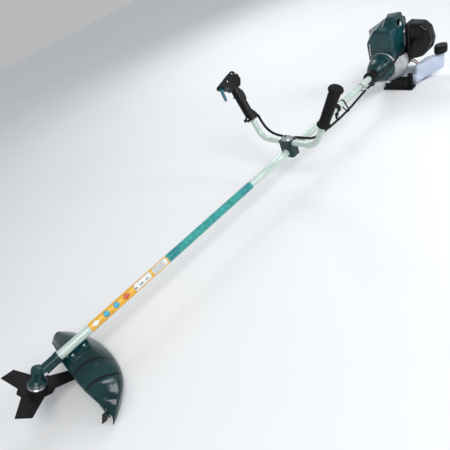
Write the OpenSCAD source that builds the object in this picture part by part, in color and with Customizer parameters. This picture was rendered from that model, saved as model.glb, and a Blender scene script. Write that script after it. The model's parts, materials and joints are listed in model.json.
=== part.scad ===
// Petrol string trimmer and brush cutter with a cow-horn handlebar.
// Millimetres. +X runs back along the shaft to the engine, +Y is the machine's right, +Z is up.
// The origin is on the ground, in the foot of the engine stand, under the shaft.

/* [Shaft] */
// Length of the shaft tube, end to end
tube_len = 1655; // [1350:5:1900]
// Outside diameter of the shaft tube
tube_d = 28; // [24:1:30]
// Wall of the shaft tube
tube_wall = 1.8; // [1.2:0.1:3]
// Diameter of the drive shaft inside the tube
drive_d = 8; // [6:0.5:10]
// Height of the shaft's axis above the ground
axis_h = 125; // [120:1:140]
// From the foot of the stand forward to the engine's clamp collar
engine_back = 155; // [145:1:170]

/* [Cutting head] */
// Angle between the arbor and a square-on shaft
head_tilt = 35; // [28:1:38]
// Diameter of the three-tooth blade
blade_d = 225; // [190:1:240]
// Thickness of the blade
blade_t = 1.6; // [1.2:0.1:3]
// Diameter of the arbor's bearing seats
arbor_d = 12; // [10:0.5:12]
// Depth that the tube goes into the gear case
socket_depth = 35; // [25:1:45]

/* [Guard] */
// Half width of the guard's rim across the machine
guard_half_w = 194; // [185:1:205]
// Half length of the guard's rim along the machine
guard_half_l = 127; // [118:1:136]
// Wall of the guard
guard_wall = 3; // [2:0.5:5]
// Number of facets round the guard's rim
guard_steps = 36; // [24:2:44]

/* [Handlebar] */
// From the engine end of the tube forward to the handlebar clamp
bar_back = 585; // [500:5:650]
// From the engine end of the tube forward to the harness hanger
hanger_back = 289; // [240:1:330]
// Outside diameter of the handlebar tube
bar_d = 22; // [19:0.5:24]
// Wall of the handlebar tube
bar_wall = 1.8; // [1.2:0.1:2.5]
// Height of the handlebar's middle above the shaft's axis
bar_rise = 34.5; // [32:0.5:40]
// Backward lean of the handlebar's horns
bar_lean = 7.4; // [0:0.1:12]
// Angle of the horns above level
bar_angle = 62.5; // [55:0.5:70]
// From the middle to the corner of each horn
bar_corner_y = 129; // [115:1:150]
// Length of each horn from its corner to its end
bar_horn = 228; // [215:1:250]
// Length of a hand grip
grip_len = 137; // [125:1:150]
// Outside diameter of a hand grip
grip_d = 37; // [34:0.5:40]

/* [Engine] */
// Radius of the clutch housing's engine flange
clutch_flange_r = 61; // [58:0.5:66]
// Radius of the fan housing
fan_r = 86; // [80:1:90]
// Outside diameter of the clutch drum
drum_d = 78; // [70:1:80]
// Diameter of the crankshaft in its bearings
crank_d = 15; // [12:0.5:17]
// Diameter of the throttle cable's sleeve
cable_d = 10; // [6:0.5:11]

/* [Fits] */
// Radial clearance of a pin or shaft that turns in a hole
run_fit = 0.06; // [0.02:0.01:0.1]
// Gap between neighbouring pieces that are fixed together
seat_gap = 0.05; // [0.02:0.01:0.2]
// Gap between pieces that move past each other
move_gap = 0.5; // [0.3:0.1:1]

/* [Hidden] */
$fn = 64;
eps = 0.01;
tube_r = tube_d / 2;
bar_r = bar_d / 2;
grip_r = grip_d / 2;
collar_depth = 20;
tube_rear_x = -engine_back + collar_depth;
tube_front_x = tube_rear_x - tube_len;
neck_x = tube_front_x + socket_depth;
bar_x = tube_rear_x - bar_back;
hanger_x = tube_rear_x - hanger_back;
arbor_x = neck_x - 71.7;
m5_d = 5;
m5_hole_d = 5.2;
m5_head_d = 8.5;
m5_head_h = 5;

// heights along the arbor, from where it crosses the shaft's axis
blade_z = -35;
case_top_z = 22;
case_foot_z = -26;
bearing_top_z = -8;
bearing_len = 16;
bearing_r = 10.5;
cavity_r = 12.2;
neck_r = 16.2;
neck_room_r = 13;
arbor_r = arbor_d / 2;

// bevel pair: both pitch cones meet where the axes cross
gear_teeth = 19;
pinion_teeth = 14;
cone_sum = 90 - head_tilt;
pinion_cone = atan2(sin(cone_sum), gear_teeth / pinion_teeth + cos(cone_sum));
gear_cone = cone_sum - pinion_cone;
cone_out = 21;
cone_in = 13.5;
mesh_gap = 1.5;

// handlebar
bend_r = 55;
bend_cut = bend_r * tan(bar_angle / 2);
grip_from = bar_horn - grip_len;
clamp_bolt_x = bar_r + m5_hole_d / 2 + 1;
clamp_bolt_y = tube_r + 6.5;
clamp_half_x = clamp_bolt_x + 5.4;
clamp_half_y = clamp_bolt_y + 7.5;
clamp_floor = 5;

dark_green = [0.02, 0.19, 0.20];
black = [0.06, 0.06, 0.07];
shaft_white = [0.86, 0.93, 0.88];
teal = [0.05, 0.35, 0.42];
silver = [0.72, 0.73, 0.74];
steel = [0.55, 0.56, 0.58];

// ---- placing ----
module at_shaft(x) { translate([x, 0, axis_h]) children(); }
module along_x() { rotate([0, 90, 0]) children(); }
module along_y() { rotate([-90, 0, 0]) children(); }
module at_arbor() { translate([arbor_x, 0, axis_h]) rotate([0, head_tilt, 0]) children(); }
module at_engine() { at_shaft(-engine_back) children(); }
module at_bar() { translate([bar_x, 0, axis_h + bar_rise]) rotate([0, bar_lean, 0]) children(); }
// side is 1 for the right horn and -1 for the left; local +Z runs up the grip and -X faces forward
module at_grip(side) {
    at_bar() translate([0, side * bar_corner_y, 0]) rotate([-side * (90 - bar_angle), 0, 0])
        translate([0, 0, grip_from]) children();
}

// ---- shared shapes ----
module tube_x(len, r_out, r_in) {
    along_x() difference() {
        cylinder(r = r_out, h = len);
        translate([0, 0, -1]) cylinder(r = r_in, h = len + 2);
    }
}
module ring(len, r_out, r_in) {
    difference() {
        cylinder(r = r_out, h = len);
        translate([0, 0, -1]) cylinder(r = r_in, h = len + 2);
    }
}
module rounded_rect(size, r) {
    square([size[0] - 2 * r, size[1]], center = true);
    square([size[0], size[1] - 2 * r], center = true);
    for (sx = [-1, 1], sy = [-1, 1])
        translate([sx * (size[0] / 2 - r), sy * (size[1] / 2 - r)]) circle(r = r);
}
module rounded_block(size, r) {
    linear_extrude(size[2]) rounded_rect([size[0], size[1]], r);
}
// socket-head bolt, head up, its head seated at z = 0
module bolt(len) {
    difference() {
        union() {
            translate([0, 0, -len]) cylinder(d = m5_d, h = len + eps);
            cylinder(d = m5_head_d, h = m5_head_h);
        }
        translate([0, 0, m5_head_h - 3]) cylinder(d = 4.6, h = 4, $fn = 6);
    }
}
module bolt_hole(len) { translate([0, 0, -len]) cylinder(d = m5_hole_d, h = len + 1); }
module blob(p, r) { translate(p) sphere(r = r, $fn = 24); }

function unit(v) = v / norm(v);
function tangent(p, i) = unit(p[min(i + 1, len(p) - 1)] - p[max(i - 1, 0)]);
function carried(p, i, n) = i == len(p) ? [] :
    let (t = tangent(p, i), m = unit(n - (n * t) * t)) concat([m], carried(p, i + 1, m));
function curve_point(a, b, c, d, t) = 0.5 * (2 * b + (c - a) * t
    + (2 * a - 5 * b + 4 * c - d) * pow(t, 2) + (3 * b - a - 3 * c + d) * pow(t, 3));
function smooth(p, steps) = concat([for (i = [0:len(p) - 2], s = [0:steps - 1])
    curve_point(p[max(i - 1, 0)], p[i], p[i + 1], p[min(i + 2, len(p) - 1)], s / steps)], [p[len(p) - 1]]);
// round cord swept along a list of points
module cord(route, r, sides) {
    side_dirs = carried(route, 0, [0.2, 0.3, 0.93]);
    rings = len(route);
    points = [for (i = [0:rings - 1], k = [0:sides - 1])
        let (a = 360 * k / sides, n = side_dirs[i], b = cross(tangent(route, i), n))
        route[i] + r * (cos(a) * n + sin(a) * b)];
    walls = [for (i = [0:rings - 2], k = [0:sides - 1])
        let (a = i * sides + k, b = i * sides + (k + 1) % sides)
        each [[a, a + sides, b], [b, a + sides, b + sides]]];
    polyhedron(points, concat([[for (k = [0:sides - 1]) k]], walls,
        [[for (k = [0:sides - 1]) rings * sides - 1 - k]]), convexity = 8);
}

// ---- shaft ----
module shaft_tube() {
    color(shaft_white) at_shaft(tube_front_x) tube_x(tube_len, tube_r, tube_r - tube_wall);
}

bush_count = 5;
bush_len = 22;
module shaft_bushes() {
    color(black) for (i = [0:bush_count - 1])
        at_shaft(tube_front_x + 90 + i * (tube_len - 180 - bush_len) / (bush_count - 1))
            tube_x(bush_len, tube_r - tube_wall - seat_gap, drive_d / 2 + run_fit);
}

drive_front_x = arbor_x + 20;
drum_x = 52;
module drive_shaft() {
    color(steel) at_shaft(drive_front_x) along_x()
        cylinder(d = drive_d, h = -engine_back + drum_x - drive_front_x);
}

// ---- cutting head ----
front_bearing_at = neck_x - arbor_x - socket_depth - 7.2;
plug_x = 21;
module gear_case() {
    color(dark_green) difference() {
        union() {
            at_arbor() {
                rotate_extrude() polygon([[0, case_foot_z], [24.5, case_foot_z], [24.5, case_foot_z + 2],
                    [23, case_foot_z + 3], [23, case_foot_z + 5], [24.5, case_foot_z + 6],
                    [24.5, case_foot_z + 8], [20.5, case_foot_z + 13], [16.2, case_foot_z + 18], [14.8, -2],
                    [14.8, 9], [15.6, 12], [15.6, case_top_z], [13.4, case_top_z + 5],
                    [6, case_top_z + 7.5], [0, case_top_z + 7.5]]);
            }
            at_shaft(arbor_x) along_x() rotate_extrude() polygon([[0, 0], [9, 0], [neck_r, 16],
                [neck_r, neck_x - arbor_x - 12], [neck_r + 1.6, neck_x - arbor_x - 10],
                [neck_r + 1.6, neck_x - arbor_x], [0, neck_x - arbor_x]]);
            at_shaft(neck_x - 9) rotate([-100, 0, 0]) translate([0, 0, 12]) rounded_block([15, 12, 10], 3);
        }
        at_arbor() {
            translate([0, 0, bearing_top_z]) cylinder(r = cavity_r, h = case_top_z - bearing_top_z);
            translate([0, 0, case_foot_z - 1])
                cylinder(r = bearing_r + seat_gap, h = bearing_top_z - case_foot_z + 1.5);
        }
        at_shaft(arbor_x) along_x() {
            cylinder(r = 8.6, h = 40);
            translate([0, 0, front_bearing_at - 2])
                cylinder(r = neck_room_r, h = neck_x - socket_depth - arbor_x - front_bearing_at + 2 + eps);
        }
        at_shaft(tube_front_x - seat_gap) along_x() cylinder(r = tube_r + seat_gap, h = socket_depth + 2);
        at_shaft(neck_x - 9) rotate([-100, 0, 0]) translate([0, 0, 22]) bolt_hole(10);
        at_shaft(arbor_x) rotate([90, 0, 0]) translate([plug_x, 0, 10]) cylinder(d = 8, h = 9);
    }
}

module gear_case_bearings() {
    color(silver) {
        at_arbor() for (i = [0, 1]) translate([0, 0, bearing_top_z - (i + 1) * bearing_len / 2 + i * seat_gap])
            ring(bearing_len / 2 - seat_gap, bearing_r, arbor_r + run_fit);
        at_shaft(arbor_x + front_bearing_at) tube_x(6.5, neck_room_r - seat_gap, drive_d / 2 + run_fit);
    }
}

module grease_plug() {
    color(silver) at_shaft(arbor_x) rotate([90, 0, 0]) translate([plug_x, 0, neck_r - 3]) {
        cylinder(d = 8 - 2 * seat_gap, h = 3.05);
        translate([0, 0, 3.05]) cylinder(d = 11, h = 4, $fn = 6);
    }
}

// short-toothed bevel wheel between its two back-cone faces, teeth outward along local +Z
module bevel_wheel(cone, teeth, hub_r, hub_len) {
    r_out = cone_out * sin(cone) - mesh_gap;
    r_in = cone_in * sin(cone) - mesh_gap;
    h_out = cone_out * cos(cone);
    h_in = cone_in * cos(cone);
    difference() {
        union() {
            rotate_extrude() polygon([[0, h_in], [r_in, h_in], [r_out, h_out], [r_out, h_out + 1],
                [hub_r, h_out + 1 + hub_len], [0, h_out + 1 + hub_len]]);
            for (i = [0:teeth - 1]) rotate(i * 360 / teeth)
                rotate([90, 0, 0]) translate([0, 0, -0.6]) linear_extrude(1.2)
                    polygon([[r_in - 1, h_in + 0.5], [r_in + 0.9, h_in + 0.2],
                        [r_out + 0.9, h_out - 0.2], [r_out - 1, h_out + 0.5]]);
        }
        children();
    }
}

module bevel_gear() {
    color(steel) at_arbor() bevel_wheel(gear_cone, gear_teeth, 8, 0.4)
        cylinder(r = arbor_r - 1 + seat_gap, h = 60);
}

module bevel_pinion() {
    color(steel) at_shaft(arbor_x) along_x() bevel_wheel(pinion_cone, pinion_teeth, 6, 7)
        translate([0, 0, drive_front_x - arbor_x - seat_gap]) cylinder(r = drive_d / 2 + seat_gap, h = 30);
}

module arbor() {
    color(steel) at_arbor() {
        translate([0, 0, bearing_top_z]) cylinder(r = arbor_r - 1, h = case_top_z - bearing_top_z - 1);
        translate([0, 0, blade_z - 7]) cylinder(r = arbor_r, h = bearing_top_z - blade_z + 7 + eps);
        translate([0, 0, blade_z - 22]) cylinder(r = 5, h = 15 + eps);
    }
}

flange_r = 24.5;
module blade_flange() {
    color(steel) at_arbor() difference() {
        rotate_extrude() polygon([[0, blade_z + blade_t / 2], [flange_r, blade_z + blade_t / 2],
            [flange_r, blade_z + 4], [21, case_foot_z - move_gap], [0, case_foot_z - move_gap]]);
        translate([0, 0, blade_z - 1]) cylinder(r = arbor_r + seat_gap, h = 12);
    }
}

blade_root_r = 52;
blade_corner = 10.4;
module blade_outline() {
    tip_r = blade_d / 2;
    arms = 3;
    difference() {
        polygon([for (i = [0:arms - 1]) each [
            [blade_root_r * 0.93 * cos(i * 120 - 37), blade_root_r * 0.93 * sin(i * 120 - 37)],
            [tip_r * cos(i * 120 - blade_corner), tip_r * sin(i * 120 - blade_corner)],
            [tip_r * cos(i * 120 + blade_corner), tip_r * sin(i * 120 + blade_corner)],
            [blade_root_r * 0.93 * cos(i * 120 + 37), blade_root_r * 0.93 * sin(i * 120 + 37)],
            [blade_root_r * cos(i * 120 + 60), blade_root_r * sin(i * 120 + 60)]]]);
        circle(r = arbor_r + seat_gap);
    }
}
module blade() {
    color(black) at_arbor() translate([0, 0, blade_z - blade_t / 2]) rotate(119.5)
        linear_extrude(blade_t) blade_outline();
}

module blade_cap() {
    color(steel) at_arbor() difference() {
        rotate_extrude() polygon([[0, blade_z - blade_t / 2], [24, blade_z - blade_t / 2],
            [24, blade_z - 3], [16, blade_z - 6], [0, blade_z - 6]]);
        translate([0, 0, blade_z - 8]) cylinder(r = arbor_r + seat_gap, h = 10);
    }
}

module blade_nut() {
    color(steel) at_arbor() difference() {
        union() {
            translate([0, 0, blade_z - 16]) cylinder(d = 19.6, h = 8, $fn = 6);
            translate([0, 0, blade_z - 8]) cylinder(r = 12, h = 2 - seat_gap);
        }
        translate([0, 0, blade_z - 17]) cylinder(r = arbor_r + seat_gap, h = 12);
    }
}

// ---- guard ----
// The rim is part of an ellipse round a point behind the arbor, in the blade's own plane.
guard_mid_u = 78;
guard_mid_v = -28;
guard_rows = 15;
ground_clear = 0.3;
bracket_x = neck_x + 12;
bracket_len = 66;
bracket_w = 62;
bracket_drop = tube_r + 6;

function rim_angle(s) = -68 + 144 * s;
function rim_point(s, inset) = [guard_mid_u + (guard_half_l - inset) * cos(rim_angle(s)),
    guard_mid_v + (guard_half_w - inset) * sin(rim_angle(s))];
function front_v(s) = -196 + 348 * s;
function front_point(s) = let (v = front_v(s))
    [66 + (v < 0 ? -0.24 * v + 3 * sin(180 * v / 196) : 0.1 * v) + 12 * pow(max(0, 1 - s / 0.15), 2), v];
function front_height(v) = v < 0 ? 22 + 32 * exp(-pow(v / 80, 2)) : 54 - 30 * pow(v / 150, 2);
function crown(v) = 38 * exp(-pow((v + 4) / (v < 0 ? 112 : 170), 2));
function rib(v) = 2.2 * exp(-pow((v + 62) / 7, 2)) + 2.2 * exp(-pow((v + 118) / 7, 2));
function rim_height(s) = 32 + 8 * sin(180 * s) + 18 * pow(s, 2);
// the near end turns down into a leg
function leg_drop(s) = 43 * pow(max(0, 1 - s / 0.13), 2);
// height above the blade's plane at which the skirt ends, so that it meets level ground
function foot_height(p, s) =
    let (lift = s < 0.72 ? 0 : 30 * pow((s - 0.72) / 0.28, 1.5),
        ground = -axis_h + ground_clear + lift)
    (ground - p[2]) / cos(head_tilt);
// one point of the shell: t runs from the front edge (0) over the top to the skirt's foot (1)
function guard_point(s, t, inset) =
    let (f = front_point(s), e = rim_point(s, inset), q = min(t / 0.8, 1),
        plan = f + (e - f) * q,
        round_off = q < 0.88 ? 0 : 7 * pow((q - 0.88) / 0.12, 2),
        top = front_height(f[1]) * (1 - q) + rim_height(s) * q
            + crown(f[1] * (1 - q) + e[1] * q) * sin(180 * pow(q, 0.8))
            - rib(f[1] * (1 - q) + e[1] * q) * sin(180 * q) - round_off - leg_drop(s) - inset,
        rest = blade_z * cos(head_tilt) - plan[0] * sin(head_tilt),
        foot = foot_height([0, 0, rest], s),
        fall = max(t - 0.8, 0) / 0.2)
    [plan[0], plan[1], blade_z + top * (1 - fall) + foot * fall];

module guard_shell() {
    n = guard_steps;
    m = guard_rows;
    row = m + 1;
    layer = (n + 1) * row;
    points = [for (inset = [0, guard_wall], i = [0:n], j = [0:m]) guard_point(i / n, j / m, inset)];
    function id(l, i, j) = l * layer + i * row + j;
    top = [for (i = [0:n - 1], j = [0:m - 1]) each [
        [id(0, i, j), id(0, i + 1, j + 1), id(0, i, j + 1)],
        [id(0, i, j), id(0, i + 1, j), id(0, i + 1, j + 1)]]];
    under = [for (i = [0:n - 1], j = [0:m - 1]) each [
        [id(1, i, j), id(1, i, j + 1), id(1, i + 1, j + 1)],
        [id(1, i, j), id(1, i + 1, j + 1), id(1, i + 1, j)]]];
    long_edges = [for (i = [0:n - 1]) each [
        [id(0, i, 0), id(1, i + 1, 0), id(0, i + 1, 0)],
        [id(0, i, 0), id(1, i, 0), id(1, i + 1, 0)],
        [id(0, i, m), id(0, i + 1, m), id(1, i + 1, m)],
        [id(0, i, m), id(1, i + 1, m), id(1, i, m)]]];
    short_edges = [for (j = [0:m - 1]) each [
        [id(0, 0, j), id(0, 0, j + 1), id(1, 0, j + 1)],
        [id(0, 0, j), id(1, 0, j + 1), id(1, 0, j)],
        [id(0, n, j), id(1, n, j + 1), id(0, n, j + 1)],
        [id(0, n, j), id(1, n, j), id(1, n, j + 1)]]];
    polyhedron(points, concat(top, under, long_edges, short_edges), convexity = 10);
}

guard_bolt_dx = 38;
guard_bolt_y = 22;
module guard_bolt_places() {
    for (i = [0, 1], sy = [-1, 1])
        translate([bracket_x + 14 + i * guard_bolt_dx, sy * guard_bolt_y, axis_h - bracket_drop + 4])
            children();
}

module guard() {
    color(dark_green) difference() {
        union() {
            at_arbor() guard_shell();
            translate([bracket_x + bracket_len / 2, 0, axis_h - bracket_drop - 12])
                rounded_block([bracket_len - 2, bracket_w - 2, 12 - seat_gap], 5);
        }
        guard_bolt_places() bolt_hole(40);
        translate([bracket_x - 1, -bracket_w / 2 - 1, axis_h - bracket_drop - seat_gap])
            cube([bracket_len + 2, bracket_w + 2, 30]);
    }
}

module guard_bracket() {
    color(dark_green) difference() {
        union() {
            translate([bracket_x + bracket_len / 2, 0, axis_h - bracket_drop])
                rounded_block([bracket_len, bracket_w, 4], 5);
            translate([bracket_x + bracket_len / 2, 0, axis_h - bracket_drop + 4 - eps])
                rounded_block([bracket_len - 6, 24, tube_r * 0.7], 3);
        }
        at_shaft(bracket_x - 5) along_x() cylinder(r = tube_r + seat_gap, h = bracket_len + 10);
        guard_bolt_places() bolt_hole(10);
    }
}

knife_s = 0.02;
module knife_place() {
    p = guard_point(knife_s, 0.92, guard_wall);
    at_arbor() translate([p[0] - 15, p[1] + 18.5, p[2] + 9]) rotate([0, 0, 20]) children();
}
module line_knife() {
    color(black) knife_place() difference() {
        translate([-10, 0, -22]) cube([17, 2.5, 29]);
        translate([-1, 4, -13]) rotate([90, 0, 0]) cylinder(d = m5_hole_d, h = 8);
        translate([-1, 4, 0]) rotate([90, 0, 0]) cylinder(d = m5_hole_d, h = 8);
    }
}

module guard_bolts() {
    color(silver) guard_bolt_places() bolt(16);
}

// ---- handlebar and its clamp ----
bend_steps = 9;
function bar_side(side, run_on) = concat([[0, side * (bar_corner_y + (bar_horn + run_on) * cos(bar_angle)),
        (bar_horn + run_on) * sin(bar_angle)]],
    [for (i = [bend_steps:-1:0]) let (a = bar_angle * i / bend_steps)
        [0, side * (bar_corner_y - bend_cut + bend_r * sin(a)), bend_r * (1 - cos(a))]]);
// route of the bar from the end of one horn to the end of the other
function bar_route(run_on) = let (right = bar_side(1, run_on), left = bar_side(-1, run_on), n = len(left))
    concat(right, [for (i = [n - 1:-1:0]) left[i]]);
module handlebar() {
    color(shaft_white) at_bar() difference() {
        cord(bar_route(0), bar_r, 28);
        cord(bar_route(1), bar_r - bar_wall, 28);
    }
}

module clamp_bolt_places(z) {
    for (sx = [-1, 1], sy = [-1, 1]) translate([bar_x + sx * clamp_bolt_x, sy * clamp_bolt_y, z]) children();
}
module clamp_layer(z_from, z_to) {
    difference() {
        translate([bar_x, 0, z_from]) rounded_block([2 * clamp_half_x, 2 * clamp_half_y, z_to - z_from], 6);
        at_shaft(bar_x - 40) along_x() cylinder(r = tube_r + seat_gap, h = 80);
        translate([bar_x, -60, axis_h + bar_rise]) along_y() cylinder(r = bar_r + seat_gap, h = 120);
        clamp_bolt_places(axis_h + 80) bolt_hole(140);
    }
}
clamp_bottom = axis_h - tube_r - clamp_floor;
clamp_top = axis_h + bar_rise + bar_r + clamp_floor;
module clamp_base() { color(dark_green) clamp_layer(clamp_bottom, axis_h - move_gap); }
module clamp_saddle() { color(dark_green) clamp_layer(axis_h + move_gap, axis_h + bar_rise - move_gap); }
module clamp_cap() { color(dark_green) clamp_layer(axis_h + bar_rise + move_gap, clamp_top); }
module clamp_bolts() {
    color(silver) clamp_bolt_places(clamp_top + seat_gap) bolt(clamp_top - clamp_bottom - 2);
}

module left_grip() {
    top = grip_len + 4;
    color(black) at_grip(-1) rotate_extrude() polygon([[bar_r + seat_gap, 0], [22, 0], [22.5, 3],
        [21, 7], [17, 10], [17.6, 60], [grip_r + 0.8, top - 16], [grip_r + 1, top - 12],
        [24, top - 9], [24.5, top - 5], [22, top - 1], [16, top + 1], [0, top + 2], [0, grip_len + 0.2],
        [bar_r + seat_gap, grip_len + 0.2]]);
}

// Throttle handle, drawn on the right grip: front is -X, up the grip is +Z.
head_half_t = 19;
head_wall = 3;
head_pts = [[20, grip_len - 8], [36, grip_len + 14], [35, grip_len + 34], [20, grip_len + 54],
    [8, grip_len + 55], [-60, grip_len + 30], [-63, grip_len + 20], [-54, grip_len + 12],
    [-23, grip_len - 2], [-18, grip_len - 10]];
head_mid = [-10, grip_len + 24];
function shrunk(p, c, k) = [for (q = p) c + (q - c) * k];
trigger_pivot = [-50, grip_len + 20];
lockout_pivot = [bar_r + 4.2, grip_len - 12];
pivot_r = 2;
lever_half_t = 4.5;
screw_places = [[24, grip_len + 40], [-28, grip_len + 26], [8, grip_len + 45], [-27, 3]];
module in_side_plane(half_t) {
    rotate([90, 0, 0]) translate([0, 0, -half_t]) linear_extrude(2 * half_t) children();
}

module throttle_body() {
    difference() {
        union() {
            cylinder(r = grip_r, h = grip_len);
            translate([0, 0, -8]) cylinder(r = 22, h = 22);
            in_side_plane(head_half_t) polygon(head_pts);
            in_side_plane(9) translate([-27, 3]) circle(r = 7);
            in_side_plane(3) polygon([[-grip_r + 2, grip_len - 40], [-26, grip_len - 38],
                [-27, grip_len - 34], [-grip_r + 2, grip_len - 30]]);
        }
        translate([0, 0, -9]) cylinder(r = bar_r + seat_gap, h = grip_len + 9.3);
        in_side_plane(head_half_t - head_wall) polygon(shrunk(head_pts, head_mid, 0.8));
        // slots for the trigger, the lockout lever and the stop switch
        in_side_plane(lever_half_t + move_gap) polygon([[-38, grip_len + 8], [-38, grip_len + 32],
            [-62, grip_len + 29], [-80, grip_len + 10], [-60, grip_len - 8]]);
        in_side_plane(lever_half_t + move_gap) polygon([[12, grip_len - 6], [12, grip_len - 68],
            [40, grip_len - 72], [40, grip_len - 20], [21, grip_len - 4]]);
        in_side_plane(5 + move_gap) polygon([[25, grip_len + 12], [60, grip_len + 12],
            [60, grip_len + 36], [25, grip_len + 36]]);
        for (p = [trigger_pivot, lockout_pivot])
            in_side_plane(8) translate(p) circle(r = pivot_r + run_fit);
        for (p = screw_places) in_side_plane(30) translate(p) circle(d = 3.2);
    }
}
module throttle_housing_outer() {
    color(black) at_grip(1) intersection() {
        throttle_body();
        translate([-100, seat_gap, -20]) cube([200, 60, 260]);
    }
}
module throttle_housing_inner() {
    color(black) at_grip(1) intersection() {
        throttle_body();
        translate([-100, -60 - seat_gap, -20]) cube([200, 60, 260]);
    }
}
module housing_screws() {
    color(silver) at_grip(1) for (i = [0:len(screw_places) - 1]) {
        reach = i == 3 ? 9 : head_half_t;
        translate([screw_places[i][0], 0, screw_places[i][1]]) rotate([90, 0, 0]) {
            translate([0, 0, -reach + 1]) cylinder(d = 3, h = 2 * reach - 1 + seat_gap);
            translate([0, 0, reach + seat_gap]) cylinder(d = 6, h = 2);
        }
    }
}
module throttle_trigger() {
    color(teal) at_grip(1) {
        in_side_plane(lever_half_t) polygon([[-45, grip_len + 24], [-54, grip_len + 25],
            [-60, grip_len + 18], [-64, grip_len], [-67, grip_len - 24], [-66, grip_len - 33],
            [-61, grip_len - 34], [-58, grip_len - 22], [-56, grip_len - 2], [-46, grip_len + 14]]);
        in_side_plane(8 - move_gap) translate(trigger_pivot) circle(r = pivot_r);
    }
}
module lockout_lever() {
    color(black) at_grip(1) {
        in_side_plane(lever_half_t) polygon([[bar_r + 1.5, grip_len - 12], [bar_r + 3, grip_len - 8],
            [19, grip_len - 9], [28, grip_len - 28], [29, grip_len - 44], [25, grip_len - 62],
            [20.5, grip_len - 64], [20, grip_len - 40]]);
        in_side_plane(8 - move_gap) translate(lockout_pivot) circle(r = pivot_r);
    }
}
module stop_switch() {
    color(teal) at_grip(1) {
        in_side_plane(5) polygon([[22, grip_len + 17], [40, grip_len + 17], [43, grip_len + 20],
            [43, grip_len + 24], [41, grip_len + 26], [22, grip_len + 26]]);
        in_side_plane(9) polygon([[18, grip_len + 16], [22.5, grip_len + 16], [22.5, grip_len + 27],
            [18, grip_len + 27]]);
    }
}

// route of the throttle cable: down the right horn, behind the clamp, under the shaft, up to the engine
cable_route = [[-678, 164, 232], [-682, 152, 212], [-686, 134, 190], [-688, 110, 172], [-688, 82, 162],
    [-684, 50, 156], [-676, 20, 150], [-664, -4, 145], [-645, -22, 132], [-615, -26, 114],
    [-570, -24, 101], [-510, -23, 95], [-430, -23, 92], [-340, -23, 97], [-260, -24, 108],
    [-200, -30, 117], [-150, -52, 134], [-105, -72, 154], [-70, -82, 172], [-40, -86, 186],
    [-10, -82, 190], [12, -72, 184]];
module throttle_cable() { color(black) cord(smooth(cable_route, 2), cable_d / 2, 8); }

// ---- harness hanger ----
hanger_len = 18;
module hanger_clamp() {
    color(black) at_shaft(hanger_x) {
        difference() {
            union() {
                tube_x(hanger_len, tube_r + 5, tube_r + seat_gap);
                translate([hanger_len / 2, 0, -tube_r - 30]) rounded_block([hanger_len, 9, 28], 3);
            }
            translate([-1, -1, -tube_r - 31]) cube([hanger_len + 2, 2, 33]);
            translate([hanger_len / 2, 10, -tube_r - 9]) rotate([90, 0, 0]) cylinder(d = m5_hole_d, h = 20);
            translate([hanger_len / 2, -10, -tube_r - eyelet_drop]) along_y()
                cylinder(r = eyelet_r + 1.2 + seat_gap, h = 20);
        }
    }
}
// flanged steel eyelet through both leaves, for the harness hook
eyelet_r = 4;
eyelet_drop = 21;
module hanger_eyelet() {
    color(silver) at_shaft(hanger_x + hanger_len / 2) translate([0, 0, -tube_r - eyelet_drop])
        along_y() difference() {
        union() {
            translate([0, 0, -5.5]) cylinder(r = eyelet_r + 1.2, h = 11);
            for (z = [-5.5, 4.5 + seat_gap]) translate([0, 0, z]) cylinder(r = eyelet_r + 2.6, h = 1 - seat_gap);
        }
        translate([0, 0, -6]) cylinder(r = eyelet_r, h = 12);
    }
}

// ---- engine front: collar, clutch, fan housing ----
collar_r = 27;
module tube_collar() {
    color(black) at_engine() difference() {
        union() {
            translate([-8, 0, 0]) tube_x(32, collar_r, tube_r + seat_gap);
            translate([3, -9, -collar_r - 12]) cube([17, 18, 16]);
        }
        translate([-9, 0, 0]) along_x() cylinder(r = tube_r + seat_gap, h = 34);
        translate([-9, -1, -collar_r - 20]) cube([60, 2, 20]);
        translate([11.5, 12, -collar_r - 5]) rotate([90, 0, 0]) cylinder(d = m5_hole_d, h = 24);
    }
}

clutch_front = 24 + seat_gap;
clutch_back = 100;
module clutch_housing() {
    color(dark_green) at_engine() difference() {
        along_x() rotate_extrude() polygon([[drive_d / 2 + 6, clutch_front], [25, clutch_front],
            [31, clutch_front + 5], [43, 46], [50, 62], [56, 84], [clutch_flange_r, clutch_back - 7],
            [clutch_flange_r, clutch_back], [drum_d / 2 + 2.5, clutch_back], [drum_d / 2 + 2.5, 50],
            [drive_d / 2 + 6, 44]]);
        for (a = [45:90:315]) rotate([a, 0, 0]) translate([clutch_back - 40, 0, clutch_flange_r - 7])
            along_x() {
                cylinder(d = m5_hole_d, h = 50);
                cylinder(r = 5, h = 32);
            }
    }
}

module clutch_drum() {
    color(steel) at_engine() along_x() difference() {
        union() {
            translate([0, 0, drum_x]) cylinder(d = drum_d, h = 36);
            translate([0, 0, 40]) cylinder(r = 9, h = 14);
        }
        translate([0, 0, drum_x + 3]) cylinder(d = drum_d - 5, h = 40);
        translate([0, 0, 39]) cylinder(d = drive_d + 2 * seat_gap, h = drum_x - 39 + seat_gap);
    }
}

module clutch_shoes() {
    color(silver) at_engine() along_x() for (a = [0, 180]) rotate(a) difference() {
        translate([0, 0, drum_x + 6]) cylinder(d = drum_d - 9, h = 22);
        translate([0, 0, drum_x + 5]) cylinder(d = 30, h = 24);
        translate([-60, -60, drum_x]) cube([120, 62, 40]);
    }
}

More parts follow.
